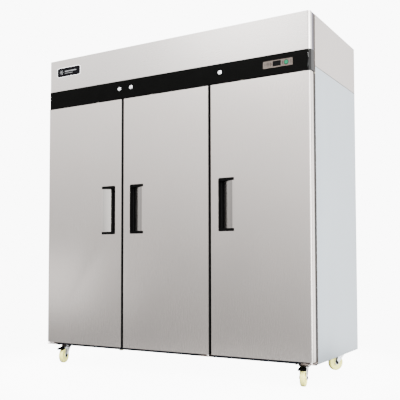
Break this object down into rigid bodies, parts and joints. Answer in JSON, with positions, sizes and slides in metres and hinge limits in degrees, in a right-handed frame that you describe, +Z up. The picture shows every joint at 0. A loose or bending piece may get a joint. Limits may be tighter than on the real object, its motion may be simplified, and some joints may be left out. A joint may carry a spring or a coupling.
{
  "type": "reach-in refrigerator",
  "caption": "Upright commercial refrigerator with hinged insulated doors, recessed finger pockets, a dark control strip, a top-mounted machine compartment, wire shelves and swivel casters.",
  "frame": {"origin": "centre of the cabinet's footprint, on the floor under the caster wheels", "axes": "+Z up, -Y out of the doors towards a person who uses it, +X to that person's right"},
  "size_m": [1.976, 0.82, 2.135],
  "materials": {
    "door_steel": "vertical brushed stainless steel",
    "side_steel": "satin steel sheet, cooler and flatter than the doors",
    "galvanised": "galvanised sheet with a faint spangle",
    "liner_steel": "bright satin steel lining",
    "foam": "foamed-in insulation, hidden between the skins",
    "gasket_rubber": "soft matt magnetic gasket",
    "black_plastic": "fine-grained black moulding",
    "badge_black": null,
    "panel_grey": "warm grey satin fascia of the controller",
    "lamp_green": "translucent green lens",
    "button_grey": "satin grey key",
    "chrome": "polished lock cylinder",
    "zinc": "bright zinc-plated pressing",
    "wheel_nylon": "ivory nylon with a soft shine",
    "shell_black": "black enamelled steel shell",
    "aluminium_fins": "thin aluminium fins",
    "wire_white": "epoxy-coated wire"
  },
  "bodies": {
    "cabinet": {"side_panel_left": "side_steel", "side_panel_right": "side_steel", "upper_panel_left": "side_steel", "upper_panel_right": "side_steel", "back_panel": "galvanised", "base_pan": "galvanised", "deck_panel": "galvanised", "cabinet_foam": "foam", "inner_liner": "liner_steel", "face_frame": "door_steel", "mullion_left": "liner_steel", "mullion_right": "liner_steel", "shelf_lower": "wire_white", "shelf_centre": "wire_white", "shelf_upper": "wire_white", "top_fascia": "door_steel", "control_strip": "black_plastic", "badge": "badge_black", "controller_plate": "panel_grey", "hinge_left_bottom": "zinc", "hinge_left_top": "zinc", "hinge_middle_bottom": "zinc", "hinge_middle_top": "zinc", "hinge_right_bottom": "zinc", "hinge_right_top": "zinc", "compressor": "shell_black", "condenser": "aluminium_fins", "evaporator_cover": "liner_steel"},
    "door_left": {"door_left_skin": "door_steel", "door_left_foam": "foam", "door_left_liner": "liner_steel", "door_left_gasket": "gasket_rubber", "door_left_handle": "black_plastic"},
    "door_middle": {"door_middle_skin": "door_steel", "door_middle_foam": "foam", "door_middle_liner": "liner_steel", "door_middle_gasket": "gasket_rubber", "door_middle_handle": "black_plastic"},
    "door_right": {"door_right_skin": "door_steel", "door_right_foam": "foam", "door_right_liner": "liner_steel", "door_right_gasket": "gasket_rubber", "door_right_handle": "black_plastic"},
    "lock_left": {"lock_left": "chrome"},
    "lock_middle": {"lock_middle": "chrome"},
    "lock_right": {"lock_right": "chrome"},
    "power_button": {"power_button": "lamp_green"},
    "set_button": {"set_button": "button_grey"},
    "fork_front_left": {"caster_front_left_fork": "zinc"},
    "fork_front_right": {"caster_front_right_fork": "zinc"},
    "fork_rear_left": {"caster_rear_left_fork": "zinc"},
    "fork_rear_right": {"caster_rear_right_fork": "zinc"},
    "wheel_front_left": {"caster_front_left_wheel": "wheel_nylon"},
    "wheel_front_right": {"caster_front_right_wheel": "wheel_nylon"},
    "wheel_rear_left": {"caster_rear_left_wheel": "wheel_nylon"},
    "wheel_rear_right": {"caster_rear_right_wheel": "wheel_nylon"},
    "pedal_front_left": {"caster_front_left_pedal": "black_plastic"},
    "pedal_front_right": {"caster_front_right_pedal": "black_plastic"},
    "condenser_fan": {"condenser_fan": "black_plastic"},
    "evaporator_fan": {"evaporator_fan": "black_plastic"}
  },
  "joints": [
    {"name": "door_left_hinge", "type": "hinge", "parent": "cabinet", "child": "door_left", "pos_m": [-0.97, -0.392, 0.967], "axis": [0, 0, -1], "range_deg": [0, 105], "stiffness_Nm_per_rad": 2.5, "springref_deg": -5.73},
    {"name": "door_middle_hinge", "type": "hinge", "parent": "cabinet", "child": "door_middle", "pos_m": [0.307, -0.392, 0.967], "axis": [0, 0, 1], "range_deg": [0, 95], "stiffness_Nm_per_rad": 2.5, "springref_deg": -5.73},
    {"name": "door_right_hinge", "type": "hinge", "parent": "cabinet", "child": "door_right", "pos_m": [0.97, -0.392, 0.967], "axis": [0, 0, 1], "range_deg": [0, 105], "stiffness_Nm_per_rad": 2.5, "springref_deg": -5.73},
    {"name": "lock_left_turn", "type": "hinge", "parent": "cabinet", "child": "lock_left", "pos_m": [-0.362, -0.406, 1.859], "axis": [0, -1, 0], "range_deg": [0, 90]},
    {"name": "lock_middle_turn", "type": "hinge", "parent": "cabinet", "child": "lock_middle", "pos_m": [-0.268, -0.406, 1.859], "axis": [0, 1, 0], "range_deg": [0, 90]},
    {"name": "lock_right_turn", "type": "hinge", "parent": "cabinet", "child": "lock_right", "pos_m": [0.403, -0.406, 1.859], "axis": [0, 1, 0], "range_deg": [0, 90]},
    {"name": "power_button_press", "type": "slide", "parent": "cabinet", "child": "power_button", "axis": [0, 1, 0], "range_m": [0, 0.0025], "stiffness_N_per_m": 300, "springref_m": -0.002},
    {"name": "set_button_press", "type": "slide", "parent": "cabinet", "child": "set_button", "axis": [0, 1, 0], "range_m": [0, 0.0015], "stiffness_N_per_m": 300, "springref_m": -0.002},
    {"name": "swivel_front_left", "type": "hinge", "parent": "cabinet", "child": "fork_front_left", "pos_m": [-0.898, -0.31, 0.1], "axis": [0, 0, 1], "continuous": true},
    {"name": "swivel_front_right", "type": "hinge", "parent": "cabinet", "child": "fork_front_right", "pos_m": [0.898, -0.31, 0.1], "axis": [0, 0, 1], "continuous": true},
    {"name": "swivel_rear_left", "type": "hinge", "parent": "cabinet", "child": "fork_rear_left", "pos_m": [-0.898, 0.31, 0.1], "axis": [0, 0, 1], "continuous": true},
    {"name": "swivel_rear_right", "type": "hinge", "parent": "cabinet", "child": "fork_rear_right", "pos_m": [0.898, 0.31, 0.1], "axis": [0, 0, 1], "continuous": true},
    {"name": "roll_front_left", "type": "hinge", "parent": "fork_front_left", "child": "wheel_front_left", "pos_m": [-0.89013, -0.3441, 0.05], "axis": [-0.9744, -0.225, 0], "continuous": true},
    {"name": "roll_front_right", "type": "hinge", "parent": "fork_front_right", "child": "wheel_front_right", "pos_m": [0.90468, -0.34436, 0.05], "axis": [-0.9816, -0.1908, 0], "continuous": true},
    {"name": "roll_rear_left", "type": "hinge", "parent": "fork_rear_left", "child": "wheel_rear_left", "pos_m": [-0.90997, 0.34289, 0.05], "axis": [0.9397, 0.342, 0], "continuous": true},
    {"name": "roll_rear_right", "type": "hinge", "parent": "fork_rear_right", "child": "wheel_rear_right", "pos_m": [0.87743, 0.28168, 0.05], "axis": [-0.809, 0.5878, 0], "continuous": true},
    {"name": "pedal_front_left_press", "type": "hinge", "parent": "fork_front_left", "child": "pedal_front_left", "pos_m": [-0.88765, -0.35482, 0.108], "axis": [0.9744, 0.225, 0], "range_deg": [0, 9]},
    {"name": "pedal_front_right_press", "type": "hinge", "parent": "fork_front_right", "child": "pedal_front_right", "pos_m": [0.90678, -0.35515, 0.108], "axis": [0.9816, 0.1908, 0], "range_deg": [0, 9]},
    {"name": "condenser_fan_spin", "type": "hinge", "parent": "cabinet", "child": "condenser_fan", "pos_m": [0.47, -0.125, 1.965], "axis": [0, 1, 0], "continuous": true},
    {"name": "evaporator_fan_spin", "type": "hinge", "parent": "cabinet", "child": "evaporator_fan", "pos_m": [0, 0.12, 1.64], "axis": [0, 0, 1], "continuous": true}
  ]
}
